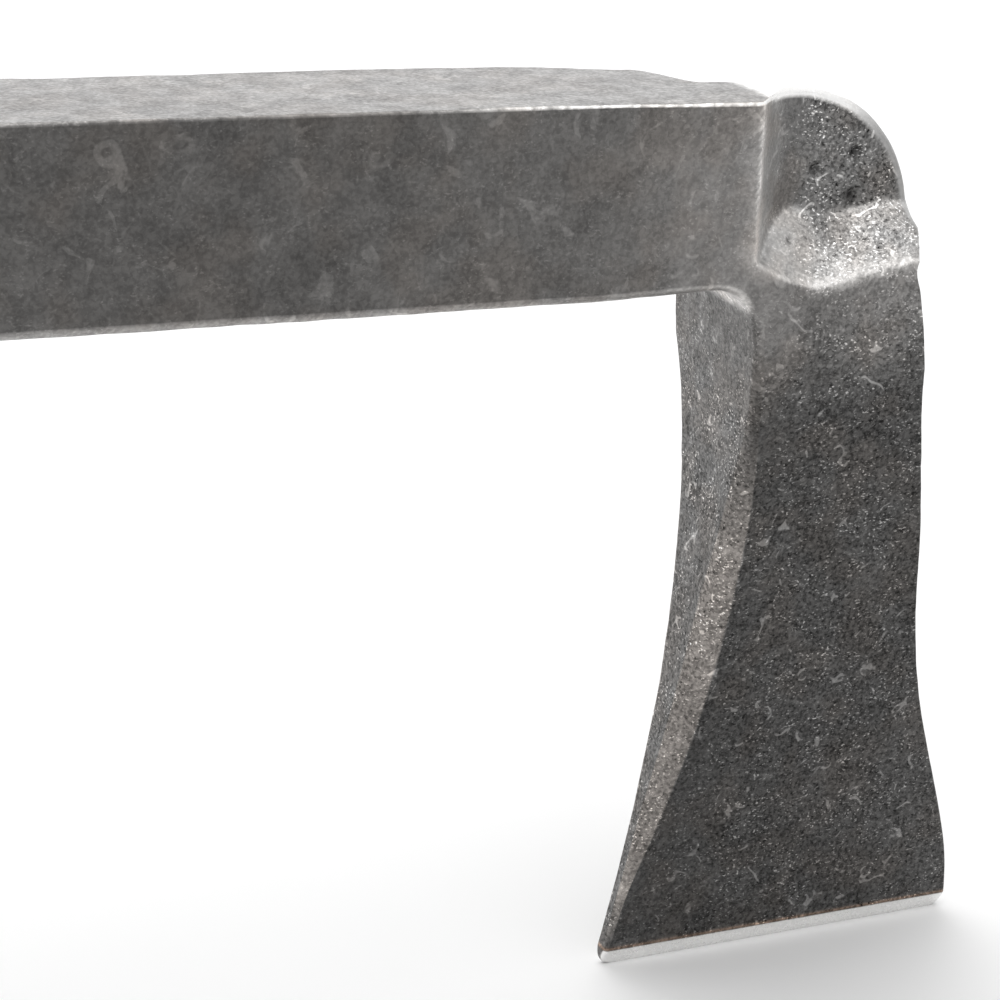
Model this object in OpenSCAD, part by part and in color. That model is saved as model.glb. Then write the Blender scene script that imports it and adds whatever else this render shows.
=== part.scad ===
// Log dog: a square steel bar whose two ends are bent down and drawn out to chisel edges.
// One edge lies along the bar and the other lies across it, so that the dog holds two crossed
// timbers. It stands on its two edges, with the bar along X and the origin under its middle.

/* [Bar] */
// Side of the square bar
bar_size = 20; // [16:0.5:25]
// Length over everything, along the bar
overall_length = 600; // [450:10:900]
// Chamfer worn along the bar's long edges
bar_chamfer = 1.1; // [0.6:0.1:1.8]
// Distance from a leg's inner face to the seam where the middle length of bar begins
seam_distance = 90; // [60:5:120]

/* [Corners] */
// Radius inside the bend, between the bar's underside and the leg
inner_fillet = 5; // [3:0.5:8]
// Radius outside the bend, seen from the side
outer_radius = 15; // [11:0.5:18]
// Thickness of the web left at the corner between the two hollows hammered into its sides
web_thickness = 3; // [2:0.5:8]
// Distance from the middle of the bar forward to the middle of that web
web_forward = 2.5; // [0:0.5:4]
// Distance from the leg's inner face to where a hollow's floor starts
hollow_floor_start = 3.5; // [2:0.5:6]
// Height of a hollow's floor, down from the top of the bar
hollow_floor_height = 12.5; // [9:0.5:14]
// Length of the front hollow's slope up from its floor to the bar's face
front_run_out = 5.5; // [3:0.5:10]
// Length of the back hollow's slope up from its floor to the bar's face
back_run_out = 16; // [10:1:22]
// Height of the slope from a hollow's floor out to the leg's face
hollow_ledge_height = 8; // [5:0.5:11]

/* [Legs] */
// Height of a leg, from the top of the bar down to its edge
leg_height = 104.5; // [85:0.5:130]
// Width of a leg's edge
edge_width = 47.5; // [36:0.5:60]
// How far the edge that lies along the bar reaches back under the bar
inner_flare = 8; // [4:0.5:12]
// Thickness of the blade just above its ground bevel
blade_thickness = 2.3; // [1.8:0.1:3.5]
// Thickness left on the cutting edge
edge_flat = 0.6; // [0.4:0.1:1]
// Height of the ground bevel
bevel_height = 2.1; // [1:0.1:2.4]
// Radius of the rounded corners at the ends of the edge
toe_radius = 3; // [2.5:0.5:5]
// Chamfer along the sides that the hammer drew out
blade_chamfer = 3; // [1.5:0.25:4]
// Distance below the bar's underside where the leg starts to get thin
taper_start = 10; // [6:1:18]

/* [Hidden] */

steel = [0.33, 0.32, 0.31];
bend_steps = 14;
blade_steps = 16;
toe_steps = 3;
bevel_steps = 6;
section_points = 8;
// How steeply each side of the leg changes towards the edge: 1 is straight, more is hollow
taper_power = 1.65;
inner_flare_power = 1.7;
outer_flare_power = 1.35;
side_flare_power = 1.5;
// Height above the edge for each unit of the blade's chamfer, where it dies out
chamfer_rise = 10;
// Largest share of a half thickness that a chamfer takes
chamfer_share = 0.6;
// Lift of the sharp point of a cutter past the face that it cuts
clear_of_face = 1;

half_bar = bar_size / 2;
front_hollow = half_bar - web_forward - web_thickness / 2;
back_hollow = half_bar + web_forward - web_thickness / 2;
outer_flare = edge_width - bar_size - inner_flare;
side_flare = (edge_width - bar_size) / 2;
underside = leg_height - bar_size;
taper_top = underside - taper_start;
inner_flare_top = taper_top - half_bar;
outer_flare_top = leg_height - outer_radius - inner_fillet;
fillet_end = underside - inner_fillet;
outer_bend_end = leg_height - outer_radius;
// How far round the corner of the edge the ground bevel starts, from its side, in degrees
bevel_angle = asin(1 - bevel_height / toe_radius);

// Inner faces of the legs, measured from the middle of the part
along_leg_face = overall_length / 2 - bar_size - outer_flare;
cross_leg_face = overall_length / 2 - bar_size;

// Share of the way down from a height to the rounded corners of the edge, from 0 to 1
function share_down(height, start) =
    min(1, max(0, (start - height) / (start - toe_radius)));

// How far a rounded corner of the edge draws in the leg's side at a height
function toe_inset(height) =
    height >= toe_radius ? 0 : toe_radius - sqrt(toe_radius ^ 2 - (toe_radius - height) ^ 2);

// Half of the leg's thickness at a height: square bar, then a hollow taper, then the bevel
function half_thickness(height) =
    height < bevel_height
        ? (edge_flat + (blade_thickness - edge_flat) * height / bevel_height) / 2
        : blade_thickness / 2
            + (half_bar - blade_thickness / 2) * (1 - share_down(height, taper_top)) ^ taper_power;

// Side view of a leg. X runs outwards from the leg's inner face, and `along` is true where
// the edge lies along the bar.
function inner_x(along, height) = along
    ? -inner_flare * share_down(height, inner_flare_top) ^ inner_flare_power + toe_inset(height)
    : half_bar - half_thickness(height);
function outer_x(along, height) = along
    ? bar_size + outer_flare * share_down(height, outer_flare_top) ^ outer_flare_power
        - toe_inset(height)
    : half_bar + half_thickness(height);
function half_across(along, height) = along
    ? half_thickness(height)
    : half_bar + side_flare * share_down(height, inner_flare_top) ^ side_flare_power
        - toe_inset(height);

// Chamfer on the sides that were drawn out: it swells below the start of the taper and dies out
// at the edge
function side_chamfer(height) =
    min(bar_chamfer + (blade_chamfer - bar_chamfer) * share_down(height, taper_top) ^ 0.5,
        edge_flat + height / chamfer_rise);

// Eight corners of one cross-section, between a point on its inner side and one on its outer
// side, each given as [x, z]. Each side has half of its thickness in Y and a cut for its two
// chamfers, as [along the section, across it].
function section(inner, outer, half_inner, half_outer, cut_inner, cut_outer) =
    let (
        way = (outer - inner) / norm(outer - inner),
        a = inner + way * cut_inner.x,
        b = outer - way * cut_outer.x,
        side_a = half_inner - cut_inner.y,
        side_b = half_outer - cut_outer.y
    ) [
        [inner.x, -side_a, inner.y],
        [a.x, -half_inner, a.y],
        [b.x, -half_outer, b.y],
        [outer.x, -side_b, outer.y],
        [outer.x, side_b, outer.y],
        [b.x, half_outer, b.y],
        [a.x, half_inner, a.y],
        [inner.x, side_a, inner.y]
    ];

// Section of the plain bar or of the bend, which keeps the bar's thickness
function bar_section(inner, outer) =
    let (cut = [bar_chamfer, bar_chamfer])
    section(inner, outer, half_bar, half_bar, cut, cut);

function bend_section(angle) = bar_section(
    [inner_fillet * (sin(angle) - 1), fillet_end + inner_fillet * cos(angle)],
    [bar_size + outer_radius * (sin(angle) - 1), outer_bend_end + outer_radius * cos(angle)]);

// Section of the leg, with the height of its inner and of its outer side, which come together
// at the edge. No chamfer takes more than a share of the half that it is cut from.
function leg_section(along, low, high) =
    let (
        inner = [inner_x(along, low), low],
        outer = [outer_x(along, high), high],
        half_inner = half_across(along, low),
        half_outer = half_across(along, high),
        half_width = norm(outer - inner) / 2,
        hammered_low = side_chamfer(low),
        hammered_high = side_chamfer(high),
        worn = min(bar_chamfer, hammered_high),
        cut_inner = [
            min(hammered_low, half_width * chamfer_share),
            min(hammered_low, half_inner * chamfer_share)
        ],
        cut_outer = [
            min(along ? worn : hammered_high, half_width * chamfer_share),
            min(along ? worn : hammered_high, half_outer * chamfer_share)
        ]
    )
    section(inner, outer, half_inner, half_outer, cut_inner, cut_outer);

// Heights of the leg's sections: evenly spaced down to the rounded corners of the edge, then
// by the angle round those corners, with one section where the ground bevel starts
function blade_height(top, i) = top + (toe_radius - top) * i / blade_steps;
function corner_height(angle) = toe_radius * (1 - sin(angle));
corner_angles = concat(
    [for (i = [1 : toe_steps]) bevel_angle * i / toe_steps],
    [for (i = [1 : bevel_steps]) bevel_angle + (90 - bevel_angle) * i / bevel_steps]
);

function leg_sections(along) = concat(
    [bar_section([-seam_distance, underside], [-seam_distance, leg_height])],
    [for (i = [0 : bend_steps]) bend_section(90 * i / bend_steps)],
    [for (i = [1 : blade_steps])
        leg_section(along, blade_height(fillet_end, i), blade_height(outer_bend_end, i))],
    [for (a = corner_angles) leg_section(along, corner_height(a), corner_height(a))]
);

// Skin over a row of sections, closed by its first and last section
module skin(sections) {
    rows = len(sections);
    n = section_points;
    sides = [for (i = [0 : rows - 2], j = [0 : n - 1], half = [0, 1])
        let (k = (j + 1) % n, here = i * n, next = here + n)
        half == 0 ? [here + j, next + k, next + j] : [here + j, here + k, next + k]];
    first_cap = [for (j = [n - 1 : -1 : 0]) j];
    last_cap = [for (j = [0 : n - 1]) (rows - 1) * n + j];
    polyhedron(points = [for (s = sections, p = s) p], faces = concat(sides, [first_cap, last_cap]));
}

// Cutter for the hollow in one side of a corner. It takes `depth` off the face at negative Y:
// a slope in from the bar, a flat floor past the outside of the bend, and a sloping ledge below.
module corner_hollow(depth, run_out) {
    far = bar_size * 2;
    face = -half_bar;
    floor_z = leg_height - hollow_floor_height;
    bar_slope = run_out / depth;
    ledge_slope = hollow_ledge_height / depth;
    intersection() {
        // Seen from above
        linear_extrude(leg_height + far)
            polygon([
                [hollow_floor_start - run_out - clear_of_face * bar_slope, face - clear_of_face],
                [far, face - clear_of_face],
                [far, face + depth],
                [hollow_floor_start, face + depth]
            ]);
        // Seen from the end of the bar
        translate([-far, 0, 0])
            rotate([90, 0, 90])
                linear_extrude(2 * far)
                    polygon([
                        [face - clear_of_face, floor_z - hollow_ledge_height
                            - clear_of_face * ledge_slope],
                        [face + depth, floor_z],
                        [face + depth, leg_height + far],
                        [face - clear_of_face, leg_height + far]
                    ]);
    }
}

// One end of the dog: straight bar, hammered corner and leg, with the bar coming in from -X
module end_piece(along) {
    difference() {
        skin(leg_sections(along));
        corner_hollow(front_hollow, front_run_out);
        mirror([0, 1, 0])
            corner_hollow(back_hollow, back_run_out);
    }
}

module bar() {
    low = seam_distance - cross_leg_face;
    high = along_leg_face - seam_distance;
    edge = half_bar - bar_chamfer;
    color(steel)
        translate([low, 0, leg_height - half_bar])
            rotate([90, 0, 90])
                linear_extrude(high - low)
                    polygon([
                        [-edge, -half_bar], [edge, -half_bar], [half_bar, -edge], [half_bar, edge],
                        [edge, half_bar], [-edge, half_bar], [-half_bar, edge], [-half_bar, -edge]
                    ]);
}

module along_leg() {
    color(steel)
        translate([along_leg_face, 0, 0])
            end_piece(true);
}

module cross_leg() {
    color(steel)
        translate([-cross_leg_face, 0, 0])
            mirror([1, 0, 0])
                end_piece(false);
}

bar();
along_leg();
cross_leg();
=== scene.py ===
import itertools
import math
from collections import namedtuple
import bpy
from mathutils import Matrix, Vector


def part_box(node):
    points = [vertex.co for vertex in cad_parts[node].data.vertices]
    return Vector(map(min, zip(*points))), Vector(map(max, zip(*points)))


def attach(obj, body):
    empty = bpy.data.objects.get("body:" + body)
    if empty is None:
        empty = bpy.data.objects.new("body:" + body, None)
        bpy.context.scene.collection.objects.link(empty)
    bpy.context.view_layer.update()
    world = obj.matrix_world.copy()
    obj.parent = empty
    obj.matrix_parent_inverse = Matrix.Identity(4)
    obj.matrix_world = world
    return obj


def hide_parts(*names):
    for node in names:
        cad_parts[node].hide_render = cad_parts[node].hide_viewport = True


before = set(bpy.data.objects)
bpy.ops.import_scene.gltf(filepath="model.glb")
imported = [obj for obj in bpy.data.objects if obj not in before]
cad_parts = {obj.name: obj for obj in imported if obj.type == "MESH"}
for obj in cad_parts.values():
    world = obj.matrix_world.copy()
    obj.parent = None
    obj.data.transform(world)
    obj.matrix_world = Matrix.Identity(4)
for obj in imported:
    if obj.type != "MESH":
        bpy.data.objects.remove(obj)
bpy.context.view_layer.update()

from types import SimpleNamespace

import bpy
import numpy as np
from mathutils import Matrix, Vector

# Lengths of the forging are in millimetres until a mesh is made, and those of the studio are in
# metres. Each leg is shaped in its own frame: x runs outwards from the leg's inner face, y to
# the back, and z up from the cutting edge.
MM = 0.001


def node_box(node):
    """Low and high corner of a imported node, in millimetres."""
    return [np.array(corner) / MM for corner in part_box(node)]


bar_low, bar_high = node_box("bar")
along_low, along_high = node_box("along_leg")
cross_low, cross_high = node_box("cross_leg")

BAR_SIZE = bar_high[1] - bar_low[1]
HALF_BAR = BAR_SIZE / 2
TOP = bar_high[2]
UNDERSIDE = bar_low[2]
EDGE_WIDTH = cross_high[1] - cross_low[1]
SEAM_DISTANCE = 90
ALONG_FACE = along_low[0] + SEAM_DISTANCE
CROSS_FACE = SEAM_DISTANCE - cross_high[0]

# Worn corners. WORN_ROUND is the exponent of their outline: 1 is flat and 2 is a true round.
LOWER_CHAMFER = 1.2
UPPER_CHAMFER = 0.4
OUTER_CHAMFER = 0.3
WORN_ROUND = 1.6

# A corner takes at most these shares of the ring's width and half thickness. Where the leg's
# inner corner is cut wider than the bar's, only this share of the difference shows at the back.
MOST_OF_WIDTH = 0.3
MOST_OF_HALF = 0.6
BACK_CUT_SHARE = 0.1

# The bar's underside hangs a little below its solid, with its hammer marks never further than
# MOST_BELOW_BAR. It draws in again from SWELL_ENDS of the way between the seam and the fillet.
UNDERSIDE_SWELL = 0.4
SWELL_ENDS = 0.8
MOST_BELOW_BAR = 1

# Bend, whose outside reaches a little further than its radius
INNER_FILLET = 5
OUTER_RADIUS = 15
OUTER_CENTRE = 4.7
OUTER_REACH = 15.7
FILLET_CENTRE = UNDERSIDE - INNER_FILLET
BEND_CENTRE = TOP - OUTER_RADIUS

# Blade, with its hollow taper, its ground bevel and worn toes as (height, width)
BLADE_HALF = 1.15
EDGE_HALF = 0.3
BEVEL_HEIGHT = 2.1
TOE_TOP = 3.2
INNER_TOE = (1.8, 1.6)
OUTER_TOE = (TOE_TOP, 1.3)
CROSS_TOE = (2.4, 2)
TAPER_TOP = UNDERSIDE - 10
TAPER_POWER = 1.65
FLARE_TOP = TAPER_TOP - HALF_BAR
FLARE_POWER = 1.5

# The cross leg's outer face is drawn in just below the bend
CROSS_DRAWN_IN = 0.4
CROSS_DRAWN_RUN = 4

# Hollow hammered into the front of the corner, down to a thin web, and its sloping ledge
FRONT_DEPTH = 6
FRONT_RUN = 8
FRONT_START = 1.2
SOFT_START = 0.13
LEDGE_TOP = TOP - 13
LEDGE_WAVE = 0.5
LEDGE_WAVE_RUN = 2.3
LEDGE_CREASE = 0.5

# Hollow in the back, in steps of (start, end, depth)
BACK_STEPS = [(-26, -8, 2.2), (-8.5, -3.5, 7.2), (0.5, 3, 2.6)]
BACK_LEDGE_TOP = TOP - 12.5
BACK_LEDGE_HEIGHT = 8

# The web's rim is rounded over its last stretch, and the top sags where the bar meets the web
CREST_ROUND = 0.5
CREST_REACH = 2
RIM_STARTS = 1.1
RIM_FULL = 0.3
SADDLE = 0.3

# Side view of the leg whose edge lies along the bar, as (height, x), and its inner chamfer
ALONG_INNER = [(79.5, 0), (64, 1.0), (46, 0), (32, -1.9), (18, -4.6), (0, -8)]
ALONG_OUTER = [
    (89.5, 20.4), (88, 19.5), (86, 18.7), (83, 19.4), (80.5, 20.0), (71.5, 21.6),
    (52, 26.2), (42, 27.9), (30.7, 30.8), (18.7, 35.1), (7, 38.7), (0, 39.5),
]
INNER_CHAMFER = [
    (80, 0.9), (70, 1.2), (62, 2.0), (50, 2.9), (26, 3.0), (17, 2.2), (10, 1.1), (0, 0.5),
]

# Edge of the front hollow as (height, x), and its lower rim as (x, height above the bar's top)
HOLLOW_EDGE = [(84, -0.1), (92, -0.4), (104.5, -1.0)]
LEDGE_FOOT = [(-2, -16.5), (3.2, -19.4), (7.5, -20.3), (12.8, -19.0), (20, -17.7)]

# Pits and dents in the front face, as (x, distance below the bar's top, radius, depth)
PITS = [
    (13.3, 7.3, 0.75, 0.8), (8.4, 8.9, 0.6, 0.6), (13.2, 11.9, 0.8, 0.5), (4.8, 15.6, 0.35, 0.5),
    (7.2, 2.4, 1.4, 0.25), (17, 33, 2.5, 0.15), (6.0, 64.5, 0.5, 0.3), (16.8, 4.2, 0.4, 0.35),
]

# Ridge that runs down the front face from the ledge's lowest point
RIDGE_X = 7.5
RIDGE_START = 20.3
RIDGE_LEAN = 0.33
RIDGE_WIDTH = 0.9
RIDGE_HEIGHT = 0.35

# What hammer and scale leave, as (height, distance between bumps, seed). Below HAMMER_FADE it
# weakens to its least share, and over the last stretch to nothing at the edge.
HAMMER_LAYERS = [(0.14, 13, 1), (0.06, 5, 2), (0.035, 2.2, 3), (0.018, 1.1, 4)]
HAMMER_FADE = 30
LEAST_HAMMER = 0.12
PLAIN_EDGE = 2.5
MARKS_FADE = (2, 6)
STREAK_HEIGHT = 0.10
STREAK_SIZE = (2.2, 2.2, 9)
STREAK_SEED = 7

# Rings along each piece, closer together from NEAR_FROM of the way to the corner. The last ones
# of a leg are given by their heights.
BAR_RINGS = 330
FAR_RINGS = 60
NEAR_RINGS = 64
NEAR_FROM = 0.66
BEND_RINGS = 72
LEG_RINGS = 205
BEVEL_RINGS = [
    TOE_TOP, 2.8, 2.6, 2.45, 2.3, 2.2, BEVEL_HEIGHT, 2.0, 1.7, 1.4, 1.1, 0.8, 0.5, 0.3, 0.15, 0.05, 0,
]

# Points round each ring: on its inner side, front, outer side and back, and on each corner
RingPoints = namedtuple("RingPoints", "inner front outer back corner")
BAR_POINTS = RingPoints(30, 48, 34, 48, 8)
ALONG_LEG_POINTS = RingPoints(30, 64, 34, 48, 8)
CROSS_LEG_POINTS = RingPoints(54, 40, 56, 40, 8)

# How light each surface is painted, and how much lighter each mark is painted than what it lies
# on. Several hold painted light as well as the steel's own colour: painted highlights on the
# hollow's wall and rim, the ledge and its foot, the web's rim, the fillet, the bar's corners and
# the lit patch, and a painted reflection on the polished ground bevel.
TONES = {
    "bar": 0.103, "corner": 0.14, "blade": 0.066, "hollow": 0.15, "wall": 0.62, "ledge": 0.47,
    "inner_face": 0.14, "top": 0.125, "crest": 0.92, "drawn_edge": 0.215, "ground": 0.84,
}
LIFTS = {
    "hollow_rim_highlight": 0.20, "ledge_foot": 0.35, "lit_patch": 0.04, "fillet": 0.38, "worn_top_with_highlight": 1.1,
    "low_edge_highlight": 0.22, "rust_line": 0.10,
}

# The bar lightens towards the corner, in steps of (start, end, lift)
BAR_LIFTS = [(-50, -25, 0.02), (-22, -2, 0.08)]

# How far a normal has to lean towards a side for its zone to start and to be full
FACES_FRONT = (0.45, 0.8)
FACES_IN = (0.6, 0.9)
FACES_UP = (0.6, 0.9)
FACES_DOWN = (0.35, 0.6)
FACES_ACROSS_BLADE = (0.35, 0.6)

# A spot where the ledge's painted highlight is dimmer, a painted patch of light below the ledge,
# and the height below which the drawn corners turn tan
DIM_LEDGE_SPOT = (9.5, TOP - 14.5)
DIM_LEDGE_RADIUS = 2.6
LIT_SPOT = (16, UNDERSIDE - 4)
LIT_RADIUS = 7
TAN_TOP = UNDERSIDE - 12
TAN_FADE = 22


def ease(value, low, high):
    """Rises smoothly from 0 at low to 1 at high."""
    share = np.clip((value - low) / (high - low), 0, 1)
    return share * share * (3 - 2 * share)


def through(knots, value):
    """Smooth curve through a few (position, height) knots, level beyond its ends."""
    at, height = np.array(sorted(knots), float).T
    slope = np.gradient(height, at)
    value = np.clip(value, at[0], at[-1])
    i = np.clip(np.searchsorted(at, value, side="right") - 1, 0, len(at) - 2)
    span = at[i + 1] - at[i]
    t = (value - at[i]) / span
    start = height[i] * (1 + 2 * t) * (1 - t) ** 2 + slope[i] * span * t * (1 - t) ** 2
    end = height[i + 1] * (3 - 2 * t) * t ** 2 + slope[i + 1] * span * t ** 2 * (t - 1)
    return start + end


def lattice(cells, seed):
    """A fixed value from -1 to 1 for each whole-numbered cell, from the fraction of a large sine.
    The factors have no meaning of their own."""
    angle = cells @ np.array([127.1, 311.7, 74.7]) + seed * 53.3
    mixed = np.sin(angle) * 43758.5453
    return 2 * (mixed - np.floor(mixed)) - 1


def noise(points, size, seed):
    """Smooth noise from -1 to 1, whose bumps are about size apart."""
    spot = points / np.array(size, float)
    cell = np.floor(spot)
    part = spot - cell
    part = part * part * (3 - 2 * part)
    total = 0
    for corner in itertools.product((0, 1), repeat=3):
        weight = np.prod(np.where(corner, part, 1 - part), axis=-1)
        total = total + weight * lattice(cell + corner, seed)
    return total


def near(x, z, at, radius):
    """1 at a spot of the side view, fading to 0 over its radius."""
    return np.exp(-((x - at[0]) ** 2 + (z - at[1]) ** 2) / radius ** 2)


def band(value, centre, width):
    """1 at a centre, fading to 0 on both sides over its width."""
    return np.exp(-((value - centre) / width) ** 2)


def soft_least(a, b, blend):
    """The smaller of two values, with the crease between them rounded."""
    share = np.clip(0.5 + 0.5 * (b - a) / blend, 0, 1)
    return b + (a - b) * share - blend * share * (1 - share)


def column(values):
    """One value for each ring, to spread over the ring's points."""
    return values[:, None]


def half_thickness(z):
    """Half of the blade's thickness: square bar, then a hollow taper, then the ground bevel."""
    down = np.clip((TAPER_TOP - z) / (TAPER_TOP - TOE_TOP), 0, 1)
    blade = BLADE_HALF + (HALF_BAR - BLADE_HALF) * (1 - down) ** TAPER_POWER
    ground = EDGE_HALF + (BLADE_HALF - EDGE_HALF) * np.clip(z / BEVEL_HEIGHT, 0, 1)
    return np.where(z < BEVEL_HEIGHT, ground, blade)


def toe(z, height, width):
    """How far a worn corner of the edge draws in the blade's side."""
    up = np.clip(z / height, 0, 1)
    return width * (1 - np.sqrt(1 - (1 - up) ** 2))


def along_leg_side(z):
    """Inner x, outer x and half thickness of the leg whose edge lies along the bar."""
    inner = through(ALONG_INNER, z) + toe(z, *INNER_TOE)
    outer = through(ALONG_OUTER, z) - toe(z, *OUTER_TOE)
    return inner, outer, half_thickness(z)


def cross_leg_side(z):
    """The same for the leg whose edge lies across the bar, which tapers in x and flares in y."""
    half = half_thickness(z)
    drawn_in = CROSS_DRAWN_IN * ease(BEND_CENTRE - z, 0, CROSS_DRAWN_RUN)
    down = np.clip((FLARE_TOP - z) / (FLARE_TOP - TOE_TOP), 0, 1)
    flare = (EDGE_WIDTH - BAR_SIZE) / 2 * down ** FLARE_POWER
    return HALF_BAR - half, HALF_BAR + half - drawn_in, HALF_BAR + flare - toe(z, *CROSS_TOE)


def stations(along):
    """The rings of a leg from the seam to the edge, each as inner and outer points in the side
    view, half thicknesses, and the cuts of the inner and outer corners."""
    far = np.linspace(0, NEAR_FROM, FAR_RINGS, endpoint=False)
    close = np.linspace(NEAR_FROM, 1, NEAR_RINGS, endpoint=False)
    run = np.concatenate([far, close])
    angle = np.linspace(0, math.pi / 2, BEND_RINGS, endpoint=False)
    fall = np.linspace(0, 1, LEG_RINGS, endpoint=False)

    swell = UNDERSIDE_SWELL * (1 - ease(run, SWELL_ENDS, 1))
    bar_inner = [-SEAM_DISTANCE + (SEAM_DISTANCE - INNER_FILLET) * run, UNDERSIDE - swell]
    bar_outer = [-SEAM_DISTANCE + (SEAM_DISTANCE + OUTER_CENTRE) * run, np.full(len(run), TOP)]
    bend_inner = [INNER_FILLET * (np.sin(angle) - 1), FILLET_CENTRE + INNER_FILLET * np.cos(angle)]
    bend_outer = [OUTER_CENTRE + OUTER_REACH * np.sin(angle), BEND_CENTRE + OUTER_RADIUS * np.cos(angle)]
    low = np.concatenate([FILLET_CENTRE + (TOE_TOP - FILLET_CENTRE) * fall, BEVEL_RINGS])
    high = np.concatenate([BEND_CENTRE + (TOE_TOP - BEND_CENTRE) * fall, BEVEL_RINGS])

    side = along_leg_side if along else cross_leg_side
    inner_x, _, low_half = side(low)
    _, outer_x, high_half = side(high)
    inner = np.concatenate([bar_inner, bend_inner, [inner_x, low]], axis=1).T
    outer = np.concatenate([bar_outer, bend_outer, [outer_x, high]], axis=1).T
    above = len(run) + len(angle)
    half_inner = np.concatenate([np.full(above, HALF_BAR), low_half])
    half_outer = np.concatenate([np.full(above, HALF_BAR), high_half])

    drawn = np.concatenate([np.full(above, LOWER_CHAMFER), through(INNER_CHAMFER, low)])
    worn = np.concatenate([np.full(above, UPPER_CHAMFER), np.full(len(high), OUTER_CHAMFER)])
    most = MOST_OF_WIDTH * np.linalg.norm(outer - inner, axis=1)
    cut_inner = np.stack([np.minimum(drawn, most), np.minimum(drawn, MOST_OF_HALF * half_inner)], 1)
    cut_outer = np.stack([np.minimum(worn, most), np.minimum(worn, MOST_OF_HALF * half_outer)], 1)
    return inner, outer, half_inner, half_outer, cut_inner, cut_outer


def perimeter(width, half_inner, half_outer, cut_inner, cut_outer, counts):
    """Points round every ring, as distances along it from its inner side and across it, and how
    close each point is to the middle of a worn corner."""
    turn = np.linspace(0, math.pi / 2, counts.corner + 1, endpoint=False)[1:]
    rise = np.sin(turn) ** (2 / WORN_ROUND)
    fall = np.cos(turn) ** (2 / WORN_ROUND)
    end = column(width - cut_outer[:, 0])
    flat_outer = column(half_outer - cut_outer[:, 1])

    def face(count, cut):
        share = np.linspace(0, 1, count)
        start = column(cut[:, 0])
        return start + (end - start) * share, column(half_inner) + column(half_outer - half_inner) * share

    def inner_corner(cut):
        across = column(half_inner - cut[:, 1]) + column(cut[:, 1]) * rise
        return column(cut[:, 0]) * (1 - fall), across

    cut_behind = np.minimum(cut_inner, LOWER_CHAMFER + (cut_inner - LOWER_CHAMFER) * BACK_CUT_SHARE)
    flat_inner = column(half_inner - cut_inner[:, 1])
    flat_behind = column(half_inner - cut_behind[:, 1])
    inner_across = -flat_inner + (flat_behind + flat_inner) * np.linspace(1, 0, counts.inner)
    outer_across = flat_outer * np.linspace(-1, 1, counts.outer)
    outer_corner = (end + column(cut_outer[:, 0]) * rise, flat_outer + column(cut_outer[:, 1]) * fall)

    in_front = [inner_corner(cut_inner), face(counts.front, cut_inner), outer_corner]
    behind = [outer_corner, face(counts.back, cut_behind), inner_corner(cut_behind)]
    round_ring = [(np.zeros_like(inner_across), inner_across)]
    round_ring += [(along, -across) for along, across in in_front]
    round_ring += [(column(width) + np.zeros(counts.outer), outer_across)]
    round_ring += [(along[:, ::-1], across[:, ::-1]) for along, across in behind]
    along, across = [np.concatenate(parts, 1) for parts in zip(*round_ring)]

    wear = np.sin(2 * turn)
    edges = []
    for count in (counts.inner, counts.front, counts.outer, counts.back):
        edges += [np.zeros(count), wear]
    return along, across, np.concatenate(edges)


def ledge_foot(x):
    """Height of the lower rim of the front hollow."""
    return TOP + through(LEDGE_FOOT, x)


def front_hollow(x, z):
    """Depth of the hollow in the front face, and how much of it is the sloping ledge."""
    u = np.clip((x - through(HOLLOW_EDGE, z) + FRONT_START) / FRONT_RUN, 0, 1)
    u = u * u / (u + SOFT_START) * (1 + SOFT_START)
    wall = FRONT_DEPTH * (1 - (1 - u) ** 2)
    top = LEDGE_TOP + LEDGE_WAVE * np.sin(x / LEDGE_WAVE_RUN)
    slope = FRONT_DEPTH * (z - ledge_foot(x)) / (top - ledge_foot(x))
    depth = np.clip(soft_least(wall, slope, LEDGE_CREASE), 0, None)
    ledge = ease(wall - slope, -0.25, 0.35) * ease(depth, 0.02, 0.25)
    return depth, ledge


def back_hollow(x, z):
    """Depth of the hollow in the back face, which runs in from the bar in three steps."""
    depth = sum(step * ease(x, start, end) for start, end, step in BACK_STEPS)
    return depth * ease(z, BACK_LEDGE_TOP - BACK_LEDGE_HEIGHT, BACK_LEDGE_TOP)


def hammered(points):
    """Height that hammer and scale leave on the surface, above and below its mean."""
    return sum(height * noise(points, size, seed) for height, size, seed in HAMMER_LAYERS)


def streaks(points, z, normal):
    """Height of the upright streaks on the leg's inner face."""
    facing_in = ease(-normal[..., 0], 0.5, 0.9) * ease(UNDERSIDE - z, 0, 4)
    return STREAK_HEIGHT * noise(points, STREAK_SIZE, STREAK_SEED) * facing_in


def marks(x, z, normal):
    """Height of the pits in the front face and of the ridge that runs down from the ledge."""
    below = TOP - RIDGE_START - z
    ridge = RIDGE_HEIGHT * band(x, RIDGE_X + RIDGE_LEAN * below, RIDGE_WIDTH)
    height = ridge * ease(below, -0.8, 0.8) * (1 - ease(below, 3, 10))
    for pit_x, down, radius, depth in PITS:
        height = height - depth * near(x, z, (pit_x, TOP - down), radius)
    return height * ease(-normal[..., 1], 0.2, 0.7)


def grid_normals(points):
    """Outward normals of a grid of rings, closed round each ring."""
    round_ring = np.roll(points, -1, 1) - np.roll(points, 1, 1)
    down = np.gradient(points, axis=0)
    normal = np.cross(down, round_ring)
    return normal / np.maximum(np.linalg.norm(normal, axis=-1, keepdims=True), 1e-9)


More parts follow.
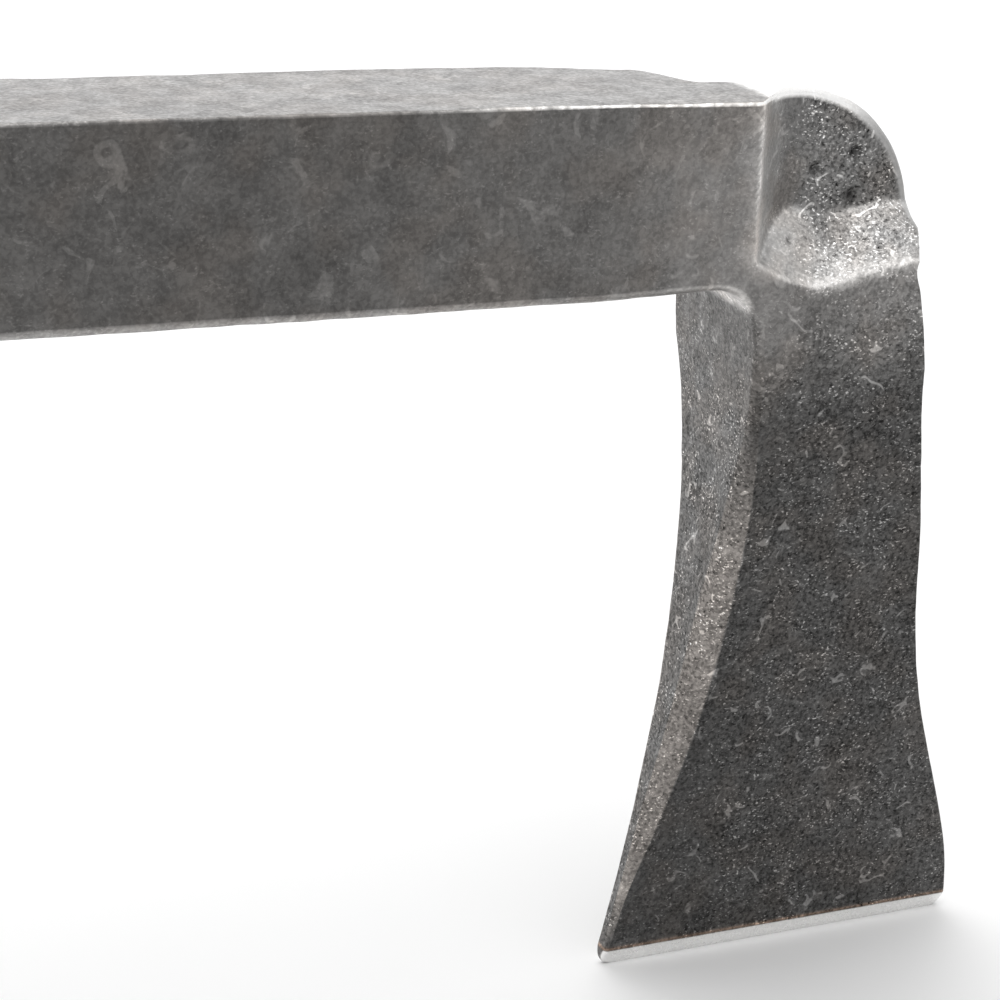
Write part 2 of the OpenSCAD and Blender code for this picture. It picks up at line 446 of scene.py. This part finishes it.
def carve(points, ring_along, ring_across, width, half, way):
    """Cuts the hollows, the web's rounded rim and the saddle into the rings of a leg. Also gives
    the front hollow's depth, and the shares of ledge, web and of the rim that is polished and
    carries a painted highlight."""
    x, y, z = np.moveaxis(points, -1, 0)
    front, ledge = front_hollow(x, z)
    back = back_hollow(x, z)
    share = (ring_across + half) / (2 * half)
    y = -half + front + share * (2 * half - front - back)
    web = ease(front, 1, 5) * ease(back, 2, 9)
    crest = np.clip(1 - (width - ring_along) / CREST_REACH, 0, 1) * web
    drop = CREST_ROUND * crest * np.abs(2 * share - 1) ** 3
    saddle = SADDLE * ease(x, -20, -1.5) * (1 - 0.8 * ease(x, -0.5, 4)) * ease(z, TOP - 3, TOP - 0.5)
    cut = np.stack([x - drop * way[..., 0], y, z - drop * way[..., 1] - saddle], -1)
    rim = ease(ring_along, width - RIM_STARTS, width - RIM_FULL) * web
    return cut, front, ledge, web, rim


# A piece's points as paint needs them: place in the leg's frame, outward normal, and how much each
# is worn corner, front hollow (as its depth), ledge, web and rim, which is polished and carries a
# painted highlight
Surface = namedtuple("Surface", "x z normal edges front ledge web rim")


def zones(surface, blade_axis, drawn_share):
    """Where each kind of surface and each painted highlight lies, from 0 to 1. Places are in the
    leg's frame. The blade's faces look along blade_axis, and drawn_share is how much tan the
    drawn-out corners show."""
    x, z, edges, front = surface.x, surface.z, surface.edges, surface.front
    looks_out, looks_back, looks_up = np.moveaxis(surface.normal, -1, 0)
    looks_front = -looks_back
    front_face = ease(looks_front, *FACES_FRONT)
    # Painted highlights: a bright line at the rim of the hollow and one at the foot of its ledge
    hollow_rim_highlight = band(front, 0.25, 0.5) * ease(x, -4, 0) * ease(z, UNDERSIDE, UNDERSIDE + 4)
    foot = band(z - ledge_foot(x), 0.5, 0.8) * ease(x, 3, 7) * ease(19 - x, 0, 2)
    # Painted highlights on the bar's corners: in dashes along the upper corner, which is also worn
    # and polished there, and evenly along the lower corner
    dashes = 0.7 + 0.3 * np.sin(5.1 * x + 2 * np.sin(1.9 * x))
    under = ease(UNDERSIDE + 2.5 - z, 0, 1) * ease(z, UNDERSIDE - 1, UNDERSIDE)
    # The leg's inner corners are dark at first and turn tan lower down
    drawn = ease(edges, 0.02, 0.25) * ease(through(ALONG_INNER, z) + 8 - x, 0, 2) * drawn_share
    lower = ease(TAN_TOP - z, 0, TAN_FADE)
    # The bevel is ground on the blade's faces only
    on_blade = ease(np.abs(surface.normal[..., blade_axis]), *FACES_ACROSS_BLADE)
    ground = ease(BEVEL_HEIGHT + 0.05 - z, 0, 0.08) * on_blade
    return SimpleNamespace(
        front_face=front_face,
        inner_face=ease(-looks_out, *FACES_IN) * ease(UNDERSIDE + 3 - z, 0, 4),
        leg=ease(x, 0, 8),
        blade=ease(UNDERSIDE - z + 0.25 * (x - 10), 0, 15),
        hollow=ease(front, 0.3, 2),
        wall=ease(front, 0, 0.35) * (1 - ease(front, 4.6, 5.9)) * (1 - surface.ledge),
        hollow_rim_highlight=hollow_rim_highlight * ease(looks_front, 0.1, 0.5),
        dim_ledge=near(x, z, DIM_LEDGE_SPOT, DIM_LEDGE_RADIUS),
        ledge_foot=foot * front_face,
        lit_patch=near(x, z, LIT_SPOT, LIT_RADIUS) * front_face,
        fillet=ease(-looks_up, *FACES_DOWN) * ease(x, -8, -3) * ease(2 - x, 0, 2) * ease(z, 72, 78),
        top=ease(looks_up, *FACES_UP) * (1 - 0.3 * surface.web),
        worn_top_with_highlight=edges * dashes * ease(z, TOP - 3.5, TOP - 1.5) * (0.12 + 0.88 * ease(x, -40, -14)),
        crest=surface.rim * (1 - 0.75 * ease(x, 10, 17)),
        low_edge_highlight=edges * under * ease(-x, 4, 8),
        tan_edge=drawn * lower * ease(z, 2, 9),
        dark_edge=drawn * ease(UNDERSIDE - 5 - z, 0, 5) * (1 - lower),
        ground=ground,
        rust_line=band(z - BEVEL_HEIGHT, 0.25, 0.22) * (1 - ground),
    )


def towards(tone, target, share):
    """A tone moved by a share of the way to its target."""
    return tone + (target - tone) * share


def paint(surface, blade_axis, drawn_share):
    """How light each point is painted, with painted highlights and shade as well as the steel's
    own tone, and how tan, rusty, polished and speckled.
    """
    x, z = surface.x, surface.z
    zone = zones(surface, blade_axis, drawn_share)
    tone = TONES["bar"] + sum(lift * ease(x, start, end) for start, end, lift in BAR_LIFTS)
    tone = towards(tone, TONES["corner"] + 0.03 * ease(x, 6, 14), zone.leg)
    tone = towards(tone, TONES["blade"] + 0.01 * ease(30 - z, 0, 25), zone.blade)
    tone = towards(tone, TONES["hollow"], zone.hollow * zone.front_face)
    # Painted highlight on the hollow's wall, weaker deeper into the hollow
    tone = towards(tone, TONES["wall"] - 0.06 * surface.front, zone.wall)
    # Painted highlight along the rim of the front hollow
    tone = tone + LIFTS["hollow_rim_highlight"] * zone.hollow_rim_highlight
    # Painted highlight where the sloping ledge faces up, dimmer at one spot
    tone = towards(tone, TONES["ledge"] - 0.25 * zone.dim_ledge, surface.ledge)
    # Painted highlight along the foot of the ledge
    tone = tone + LIFTS["ledge_foot"] * zone.ledge_foot
    # Painted patch of light on the front face below the ledge
    tone = tone + LIFTS["lit_patch"] * zone.lit_patch
    tone = towards(tone, TONES["inner_face"], zone.inner_face)
    # Painted light on the fillet under the bar, where it faces down
    tone = tone + LIFTS["fillet"] * zone.fillet
    tone = towards(tone, TONES["top"], zone.top)
    # Painted highlight in dashes along the worn upper corner
    tone = tone + LIFTS["worn_top_with_highlight"] * zone.worn_top_with_highlight
    # The web's polished rim, painted nearly white as a painted highlight
    tone = towards(tone, TONES["crest"], zone.crest)
    # Painted highlight along the bar's lower corner
    tone = tone + LIFTS["low_edge_highlight"] * zone.low_edge_highlight
    tone = towards(tone, TONES["drawn_edge"], zone.tan_edge)
    tone = tone * (1 - 0.1 * zone.dark_edge)
    # The deeper pits are painted darker inside, a painted shade
    for pit_x, down, radius, depth in PITS:
        pit_shade = near(x, z, (pit_x, TOP - down), 0.9 * radius) * zone.front_face
        tone = tone * (1 - 0.75 * ease(depth, 0.2, 0.5) * pit_shade)
    # The ground bevel is polished steel, painted lighter still as a painted reflection
    tone = towards(tone, TONES["ground"], zone.ground)
    tone = tone + LIFTS["rust_line"] * zone.rust_line

    mild_tan = 0.2 * (1 - zone.blade) * (1 - zone.hollow)
    tan = zone.tan_edge + 0.35 * zone.dark_edge + 0.9 * zone.rust_line + mild_tan
    polish = zone.ground + 0.6 * zone.worn_top_with_highlight + 0.15 * surface.ledge + 0.8 * surface.rim
    speckle = 0.12 + 0.75 * zone.blade + 0.35 * zone.leg + 0.3 * zone.inner_face
    speckle = speckle + 0.9 * zone.hollow * ease(x, 5, 9)
    speckle = speckle * (1 - zone.ground) * (1 - 0.8 * surface.rim)
    return {
        "tone": tone,
        "tan": np.clip(tan, 0, 1),
        "rust": zone.rust_line,
        "polish": np.clip(polish, 0, 1),
        "speckle": np.clip(speckle, 0, 1.3),
    }


def add_mesh(name, points, attributes, material, flip):
    """One closed piece from a grid of rings, with flat ends and its painted attributes. Flip is
    for rings that were mirrored."""
    rows, columns = points.shape[:2]
    index = np.arange(rows * columns).reshape(rows, columns)
    beside = np.roll(index, -1, 1)
    quads = np.stack([index[:-1], index[1:], beside[1:], beside[:-1]], -1).reshape(-1, 4)
    first = list(index[0])
    last = list(index[-1][::-1])
    ends = [first, last]
    if flip:
        quads = quads[:, ::-1]
        ends = [first[::-1], last[::-1]]
    mesh = bpy.data.meshes.new(name)
    mesh.from_pydata((points.reshape(-1, 3) * MM).tolist(), [], quads.tolist() + ends)
    mesh.shade_smooth()
    for polygon in mesh.polygons[-2:]:
        polygon.use_smooth = False
    for key, values in attributes.items():
        layer = mesh.attributes.new(key, "FLOAT", "POINT")
        layer.data.foreach_set("value", values.astype(np.float32).ravel())
    mesh.materials.append(material)
    piece = bpy.data.objects.new(name, mesh)
    bpy.context.scene.collection.objects.link(piece)
    return piece


def leg_mesh(name, along, material):
    """A leg with its corner and the end of the bar, hammered and painted."""
    counts = ALONG_LEG_POINTS if along else CROSS_LEG_POINTS
    inner, outer, half_inner, half_outer, cut_inner, cut_outer = stations(along)
    width = np.linalg.norm(outer - inner, axis=1)
    way = ((outer - inner) / column(width))[:, None, :]
    ring_along, ring_across, edges = perimeter(
        width, half_inner, half_outer, cut_inner, cut_outer, counts)
    spot = inner[:, None, :] + way * ring_along[..., None]
    points = np.stack([spot[..., 0], ring_across, spot[..., 1]], -1)
    half = column(half_inner) + column(half_outer - half_inner) * ring_along / column(width)
    cut, front, ledge, web, rim = carve(points, ring_along, ring_across, column(width), half, way)
    normal = grid_normals(cut)
    x, _, z = np.moveaxis(cut, -1, 0)

    mirror = np.array([1 if along else -1, 1, 1])
    placed = (cut + np.array([ALONG_FACE if along else CROSS_FACE, 0, 0])) * mirror
    fade = np.clip(z / HAMMER_FADE, LEAST_HAMMER, 1) * ease(z, 0, PLAIN_EDGE)
    height = (hammered(placed) + streaks(placed, z, normal)) * fade
    height = height + marks(x, z, normal) * ease(z, *MARKS_FADE)
    shaped = placed + normal * mirror * height[..., None]
    low, high = (along_low, along_high) if along else (cross_low, cross_high)
    shaped = np.clip(shaped, low, high)
    shaped[0, :, 0] = placed[0, :, 0]

    surface = Surface(x, z, normal, np.broadcast_to(edges, x.shape), front, ledge, web, rim)
    blade_axis, drawn_share = (1, 1) if along else (0, 0.6)
    painted = paint(surface, blade_axis, drawn_share)
    return add_mesh(name, shaped, painted, material, flip=not along)


def bar_mesh(name, material):
    """The middle length of bar, hammered like the legs that it joins."""
    run = np.linspace(bar_low[0], bar_high[0], BAR_RINGS)
    bottom = UNDERSIDE - UNDERSIDE_SWELL
    half = np.full(BAR_RINGS, HALF_BAR)
    lower = np.full((BAR_RINGS, 2), LOWER_CHAMFER)
    upper = np.full((BAR_RINGS, 2), UPPER_CHAMFER)
    ring_along, y, edges = perimeter(
        np.full(BAR_RINGS, TOP - bottom), half, half, lower, upper, BAR_POINTS)
    x = column(run) + np.zeros_like(y)
    z = bottom + ring_along
    points = np.stack([x, y, z], -1)
    normal = grid_normals(points)
    shaped = points + normal * hammered(points)[..., None]
    shaped = np.clip(shaped, bar_low - [0, 0, MOST_BELOW_BAR], bar_high)
    shaped[0, :, 0] = bar_low[0]
    shaped[-1, :, 0] = bar_high[0]

    none = np.zeros_like(x)
    surface = Surface(
        none - SEAM_DISTANCE, z, normal, np.broadcast_to(edges, x.shape), none, none, none, none)
    painted = paint(surface, blade_axis=0, drawn_share=0)
    return add_mesh(name, shaped, painted, material, flip=False)


# How much each mark in the scale changes the painted tone
GRAIN_CHANGE = 0.13
SPECKLED_GRAIN_CHANGE = 0.28
BRIGHT_FLECK_CHANGE = 2.7
DARK_FLECK_CHANGE = 0.42
SCRATCH_CHANGE = 1.7
FLAKE_CHANGE = 0.45
DARKEST = 0.012

# Where the steel is polished, less of the scale's texture shows and it is smoother. The range of
# a noise is where most of its values lie, and the depths of the relief are in millimetres.
POLISH_HIDES = 0.88
POLISH_SMOOTHS = 0.14
NOISE_RANGE = (0.3, 0.7)
SCALE_DEPTH = 0.10
GRAIN_DEPTH = 0.05

# Colours that the tone is multiplied by
GREY_SCALE = (1.0, 0.985, 0.97, 1)
BROWN_SCALE = (1.03, 0.975, 0.93, 1)
TAN_EDGE = (1.07, 0.99, 0.925, 1)
RUST_LINE = (1.35, 0.97, 0.74, 1)
BARE_METAL = (1.0, 0.995, 0.985, 1)

# Sockets of the colour mix node, whose names repeat for each kind of value
MIX_A = 6
MIX_B = 7
MIX_RESULT = 2


class Shader:
    """Short helpers for a material's nodes. Each but put returns the socket with its result."""

    def __init__(self, name):
        self.material = bpy.data.materials.new(name)
        self.material.use_nodes = True
        self.nodes = self.material.node_tree.nodes
        self.links = self.material.node_tree.links
        self.surface = self.nodes["Principled BSDF"]
        scale = self.nodes.new("ShaderNodeMapping")
        scale.inputs["Scale"].default_value = (1 / MM, 1 / MM, 1 / MM)
        self.links.new(self.nodes.new("ShaderNodeTexCoord").outputs["Object"], scale.inputs["Vector"])
        self.place = scale.outputs["Vector"]

    def put(self, value, socket):
        """Links a socket, or writes a constant, into an input."""
        if isinstance(value, bpy.types.NodeSocket):
            self.links.new(value, socket)
        else:
            socket.default_value = value

    def math(self, operation, *values):
        node = self.nodes.new("ShaderNodeMath")
        node.operation = operation
        for value, socket in zip(values, node.inputs):
            self.put(value, socket)
        return node.outputs[0]

    def plus(self, a, b):
        return self.math("ADD", a, b)

    def minus(self, a, b):
        return self.math("SUBTRACT", a, b)

    def times(self, a, b):
        return self.math("MULTIPLY", a, b)

    def noise(self, size, detail=2, stretch=(1, 1, 1), shift=0, warp=0):
        """Noise from 0 to 1 with bumps about size millimetres apart. Stretch lengthens them along
        x, y and z, and a shift of its own keeps one pattern from lining up with another."""
        place = self.nodes.new("ShaderNodeMapping")
        place.inputs["Scale"].default_value = [1 / (size * share) for share in stretch]
        place.inputs["Location"].default_value = (shift, shift, shift)
        self.links.new(self.place, place.inputs["Vector"])
        node = self.nodes.new("ShaderNodeTexNoise")
        node.inputs["Scale"].default_value = 1
        node.inputs["Detail"].default_value = detail
        node.inputs["Distortion"].default_value = warp
        self.links.new(place.outputs["Vector"], node.inputs["Vector"])
        return node.outputs["Fac"]

    def ramp(self, value, low, high, to_low=0, to_high=1):
        """Goes smoothly from to_low at low to to_high at high, which may be the lower of the two."""
        node = self.nodes.new("ShaderNodeMapRange")
        node.interpolation_type = "SMOOTHSTEP"
        limits = {"From Min": low, "From Max": high, "To Min": to_low, "To Max": to_high}
        for key, number in limits.items():
            node.inputs[key].default_value = number
        self.put(value, node.inputs["Value"])
        return node.outputs["Result"]

    def attribute(self, name):
        """A value that was painted on the mesh's points."""
        node = self.nodes.new("ShaderNodeAttribute")
        node.attribute_name = name
        return node.outputs["Fac"]

    def mix(self, share, a, b):
        """Colour a at a share of 0, and b at 1."""
        node = self.nodes.new("ShaderNodeMix")
        node.data_type = "RGBA"
        self.put(share, node.inputs["Factor"])
        self.put(a, node.inputs[MIX_A])
        self.put(b, node.inputs[MIX_B])
        return node.outputs[MIX_RESULT]

    def tint(self, colour, value):
        """A colour multiplied by a value."""
        node = self.nodes.new("ShaderNodeVectorMath")
        node.operation = "SCALE"
        self.put(colour, node.inputs[0])
        self.put(value, node.inputs["Scale"])
        return node.outputs["Vector"]

    def bump(self, height, distance, normal=None):
        """Relief whose height is a distance in millimetres, on top of another relief if given."""
        node = self.nodes.new("ShaderNodeBump")
        node.inputs["Distance"].default_value = distance * MM
        self.put(height, node.inputs["Height"])
        if normal is not None:
            self.links.new(normal, node.inputs["Normal"])
        return node.outputs["Normal"]


def flecks(steel, speckle):
    """Bare metal that glints through the scale in clusters, and small dark holes between."""
    glints = steel.ramp(steel.noise(0.24, 1, stretch=(1.5, 1.2, 1), shift=2), 0.58, 0.78)
    clusters = steel.ramp(steel.noise(3.2, 3, shift=17, warp=0.8), 0.40, 0.62, 0.3, 1.7)
    holes = steel.ramp(steel.noise(0.30, 1, stretch=(1.4, 1.2, 1), shift=14), 0.44, 0.28)
    return steel.times(steel.times(glints, speckle), clusters), steel.times(holes, speckle)


def scratches(steel, speckle):
    """Short curved scratches: thin lines halfway up a noise, kept only in some places."""
    off_middle = steel.math("ABSOLUTE", steel.minus(steel.noise(3.6, 1, shift=21), 0.5))
    places = steel.ramp(steel.noise(2.2, 2, shift=23), 0.57, 0.64)
    lines = steel.times(steel.ramp(off_middle, 0.026, 0.010), places)
    return steel.times(lines, speckle)


def brightness(steel, blotches, grain, speckle, textured):
    """What the painted tone is multiplied by, at full strength where the scale is whole."""
    patches = steel.ramp(steel.noise(9, 3, warp=0.6), *NOISE_RANGE, 0.90, 1.10)
    level = steel.plus(patches, steel.ramp(blotches, *NOISE_RANGE, -0.10, 0.10))
    grain_change = steel.plus(steel.times(speckle, SPECKLED_GRAIN_CHANGE), GRAIN_CHANGE)
    level = steel.plus(level, steel.times(steel.ramp(grain, *NOISE_RANGE, -1, 1), grain_change))
    bright, dark = flecks(steel, speckle)
    level = steel.plus(level, steel.times(bright, BRIGHT_FLECK_CHANGE))
    level = steel.minus(level, steel.times(dark, DARK_FLECK_CHANGE))
    level = steel.plus(level, steel.times(scratches(steel, speckle), SCRATCH_CHANGE))
    flakes = steel.ramp(steel.noise(3.4, 4, shift=40, warp=1.2), 0.60, 0.68)
    level = steel.plus(level, steel.times(flakes, FLAKE_CHANGE))
    return steel.plus(1.0, steel.times(steel.minus(level, 1.0), textured))


def hue(steel, polish):
    """Grey and brown scale, tan on the drawn edges, the rust line, and bare metal where polished."""
    brown = steel.ramp(steel.noise(6, 2, shift=50), 0.4, 0.65)
    colour = steel.mix(brown, GREY_SCALE, BROWN_SCALE)
    colour = steel.mix(steel.attribute("tan"), colour, TAN_EDGE)
    colour = steel.mix(steel.attribute("rust"), colour, RUST_LINE)
    return steel.mix(polish, colour, BARE_METAL)


def relief(steel, grain, speckle, textured):
    """Coarse scale with a fine grain on it, both weaker where the steel is polished."""
    coarse = steel.bump(steel.times(steel.noise(1.6, 4, shift=60), textured), SCALE_DEPTH)
    specks = steel.times(steel.noise(0.26, 2, shift=70), steel.plus(speckle, 0.2))
    return steel.bump(steel.times(steel.plus(grain, specks), textured), GRAIN_DEPTH, coarse)


def forged_steel(name):
    """Dark scaled steel: mottled, speckled with bare metal, scratched, and burnished where worn."""
    steel = Shader(name)
    polish = steel.attribute("polish")
    speckle = steel.attribute("speckle")
    blotches = steel.noise(2.6, 3, shift=5)
    grain = steel.noise(0.46, 3, shift=9, warp=0.5)
    textured = steel.minus(1.0, steel.times(polish, POLISH_HIDES))

    level = brightness(steel, blotches, grain, speckle, textured)
    # The tone attribute holds painted highlights and painted shade as well as the steel's own tone
    shade = steel.math("MAXIMUM", steel.times(steel.attribute("tone"), level), DARKEST)
    steel.put(steel.tint(hue(steel, polish), shade), steel.surface.inputs["Base Color"])
    steel.surface.inputs["Metallic"].default_value = 1

    rough = steel.ramp(blotches, *NOISE_RANGE, 0.46, 0.38)
    rough = steel.plus(rough, steel.ramp(grain, *NOISE_RANGE, 0.05, -0.05))
    rough = steel.minus(rough, steel.times(polish, POLISH_SMOOTHS))
    steel.put(rough, steel.surface.inputs["Roughness"])
    steel.put(relief(steel, grain, speckle, textured), steel.surface.inputs["Normal"])
    return steel.material


def log_dog():
    """The three lengths of the one forging, each over its solid."""
    bar_steel = forged_steel("forged_bar_steel")
    leg_steel = forged_steel("forged_leg_steel")
    made = {
        "bar": (bar_mesh("forged_bar_length", bar_steel), "forged_bar"),
        "along_leg": (leg_mesh("forged_along_leg", True, leg_steel), "forged_leg"),
        "cross_leg": (leg_mesh("forged_cross_leg", False, leg_steel), "forged_leg"),
    }
    for node, (piece, slot) in made.items():
        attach(piece, "root")
        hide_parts(node)


# Studio, in metres. The surroundings light matt surfaces at LIT_STRENGTH, and are plain white to
# the camera and in reflections. A lamp's brightness is its radiance. LAMPS_AIM lies under the half
# of the bar next to the along leg.
FLOOR_REACH = 6
LIT_STRENGTH = 0.66
WHITE_STRENGTH = 1.0
LAMPS_AIM = (0.15, 0, 0.06)
LAMPS = [
    {"name": "overhead", "place": (0.1, 0.1, 1.3), "width": 1.4, "height": 1.2, "brightness": 1.5},
    {"name": "behind", "place": (0.35, 1.3, 0.75), "width": 2.0, "height": 0.9, "brightness": 1.6},
]

# The photograph's camera, worked out from the bar's straight edges and its square corner
CAMERA_PLACE = (0.1370, -0.22324, 0.15230)
YAW = math.radians(24.066)
PITCH = math.radians(20.682)
ROLL = math.radians(3.358)
SENSOR_WIDTH = 36
FOCAL_LENGTH = 88.2
NEAREST_SEEN = 0.02
FURTHEST_SEEN = 30


def floor_material():
    """Matt, nearly white and very slightly uneven."""
    pale = Shader("pale_floor")
    level = pale.ramp(pale.noise(70, 2), *NOISE_RANGE, 0.955, 0.965)
    pale.put(pale.tint((1.0, 1.0, 1.0), level), pale.surface.inputs["Base Color"])
    pale.surface.inputs["Roughness"].default_value = 0.9
    pale.surface.inputs["Specular IOR Level"].default_value = 0.1
    return pale.material


def floor():
    """A wide pale floor at the height of the two cutting edges."""
    signs = [(-1, -1), (1, -1), (1, 1), (-1, 1)]
    mesh = bpy.data.meshes.new("floor")
    corners = [(x * FLOOR_REACH, y * FLOOR_REACH, 0) for x, y in signs]
    mesh.from_pydata(corners, [], [(0, 1, 2, 3)])
    mesh.materials.append(floor_material())
    ground = bpy.data.objects.new("floor", mesh)
    bpy.context.scene.collection.objects.link(ground)


def soft_box(name, place, width, height, brightness):
    """A rectangular lamp that shines at LAMPS_AIM."""
    lamp = bpy.data.lights.new(name, "AREA")
    lamp.shape = "RECTANGLE"
    lamp.size = width
    lamp.size_y = height
    lamp.energy = brightness * math.pi * width * height
    box = bpy.data.objects.new(name, lamp)
    box.location = place
    direction = Vector(LAMPS_AIM) - Vector(place)
    box.rotation_euler = direction.to_track_quat("-Z", "Y").to_euler()
    bpy.context.scene.collection.objects.link(box)


def surroundings():
    """An even white world, weaker for the rays that light matt surfaces."""
    world = bpy.data.worlds.new("studio")
    world.use_nodes = True
    tree = world.node_tree
    back = tree.nodes["Background"]
    back.inputs["Color"].default_value = (1, 1, 1, 1)
    path = tree.nodes.new("ShaderNodeLightPath")
    seen = path.outputs["Is Camera Ray"]
    for ray in ("Is Glossy Ray", "Is Transmission Ray"):
        either = tree.nodes.new("ShaderNodeMath")
        either.operation = "MAXIMUM"
        tree.links.new(seen, either.inputs[0])
        tree.links.new(path.outputs[ray], either.inputs[1])
        seen = either.outputs[0]
    strength = tree.nodes.new("ShaderNodeMapRange")
    strength.inputs["To Min"].default_value = LIT_STRENGTH
    strength.inputs["To Max"].default_value = WHITE_STRENGTH
    tree.links.new(seen, strength.inputs["Value"])
    tree.links.new(strength.outputs["Result"], back.inputs["Strength"])
    bpy.context.scene.world = world


def studio():
    """Even pale surroundings, a soft box overhead and one behind, and the pale floor."""
    surroundings()
    for lamp in LAMPS:
        soft_box(**lamp)
    floor()


def camera():
    """The photograph's view: from in front of the bar and above it, to the right and down."""
    right = np.array([math.cos(YAW), -math.sin(YAW), 0])
    forward = np.array([
        math.cos(PITCH) * math.sin(YAW), math.cos(PITCH) * math.cos(YAW), -math.sin(PITCH)])
    up = np.cross(right, forward)
    across = math.cos(ROLL) * right + math.sin(ROLL) * up
    upward = math.cos(ROLL) * up - math.sin(ROLL) * right
    data = bpy.data.cameras.new("camera")
    data.sensor_width = SENSOR_WIDTH
    data.lens = FOCAL_LENGTH
    data.clip_start = NEAREST_SEEN
    data.clip_end = FURTHEST_SEEN
    eye = bpy.data.objects.new("camera", data)
    turn = Matrix([across, upward, -forward]).transposed().to_4x4()
    eye.matrix_world = Matrix.Translation(CAMERA_PLACE) @ turn
    bpy.context.scene.collection.objects.link(eye)
    bpy.context.scene.camera = eye


log_dog()
studio()
camera()
bpy.context.scene.view_settings.view_transform = "Standard"
